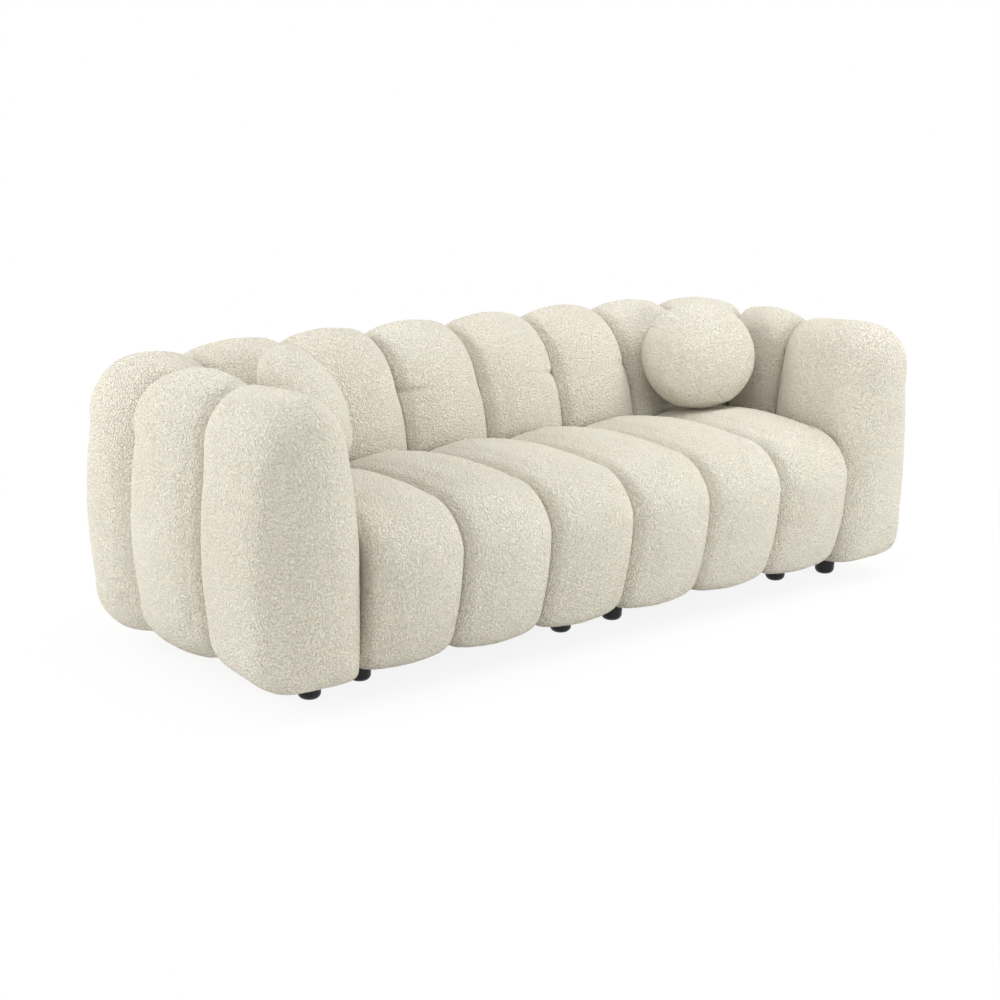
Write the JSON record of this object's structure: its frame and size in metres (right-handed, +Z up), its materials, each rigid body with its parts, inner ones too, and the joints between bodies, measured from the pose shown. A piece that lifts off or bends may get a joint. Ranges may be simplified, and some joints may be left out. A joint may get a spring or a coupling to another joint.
{
  "type": "three-seater sofa",
  "caption": "Low channel-tufted sofa with a rounded back and arms in one padded sweep, loose round cushions in the corners and short black feet.",
  "frame": {"origin": "on the floor under the middle of the sofa's outline", "axes": "+X along the sofa to the sitter's left (the viewer's right), -Y to the front, +Z up"},
  "size_m": [2.2576, 0.9603, 0.7755],
  "materials": {
    "boucle": "nubby cream boucle",
    "cushion_filling": "fibre wadding",
    "seat_foam": "open-cell foam",
    "webbing": "woven elastic",
    "dust_cloth": "black non-woven",
    "twine": "waxed twine",
    "timber": "planed softwood",
    "plywood": "raw plywood",
    "foot_black": "satin black",
    "zinc_steel": "zinc plated"
  },
  "bodies": {
    "sofa": {"centre_bolts": "zinc_steel", "centre_nuts": "zinc_steel", "foot_studs": "zinc_steel", "foot_tee_nuts": "zinc_steel", "joining_plate_screws": "zinc_steel", "joining_plates": "zinc_steel", "left_arm_channel": "boucle", "left_arm_front_channel": "boucle", "left_back_channel_1": "boucle", "left_back_channel_2": "boucle", "left_back_channel_3": "boucle", "left_corner_channel": "boucle", "left_front_feet": "foot_black", "left_rear_feet": "foot_black", "left_seat_channel_1": "boucle", "left_seat_channel_2": "boucle", "left_seat_channel_3": "boucle", "left_seat_corner_plates": "timber", "left_seat_cross_rails": "timber", "left_seat_dust_cover": "dust_cloth", "left_seat_foam_core": "seat_foam", "left_seat_front_rail": "timber", "left_seat_rear_rail": "timber", "left_seat_webbing": "webbing", "left_tuft_batten": "timber", "left_wall_base_board": "plywood", "left_wall_lower_posts": "timber", "left_wall_middle_board": "plywood", "left_wall_top_board": "plywood", "left_wall_upper_posts": "timber", "right_arm_channel": "boucle", "right_arm_front_channel": "boucle", "right_back_channel_1": "boucle", "right_back_channel_2": "boucle", "right_back_channel_3": "boucle", "right_corner_channel": "boucle", "right_front_feet": "foot_black", "right_rear_feet": "foot_black", "right_seat_channel_1": "boucle", "right_seat_channel_2": "boucle", "right_seat_channel_3": "boucle", "right_seat_corner_plates": "timber", "right_seat_cross_rails": "timber", "right_seat_dust_cover": "dust_cloth", "right_seat_foam_core": "seat_foam", "right_seat_front_rail": "timber", "right_seat_rear_rail": "timber", "right_seat_webbing": "webbing", "right_tuft_batten": "timber", "right_wall_base_board": "plywood", "right_wall_lower_posts": "timber", "right_wall_middle_board": "plywood", "right_wall_top_board": "plywood", "right_wall_upper_posts": "timber", "tuft_ties": "twine"},
    "left_cushion": {"left_ball_cushion_cover": "boucle", "left_ball_cushion_filling": "cushion_filling"},
    "right_cushion": {"right_ball_cushion_cover": "boucle", "right_ball_cushion_filling": "cushion_filling"}
  },
  "joints": [
    {"name": "left_cushion_lift", "type": "slide", "parent": "sofa", "child": "left_cushion", "axis": [0, 0, 1], "range_m": [0, 0.5]},
    {"name": "right_cushion_lift", "type": "slide", "parent": "sofa", "child": "right_cushion", "axis": [0, 0, 1], "range_m": [0, 0.5]}
  ]
}
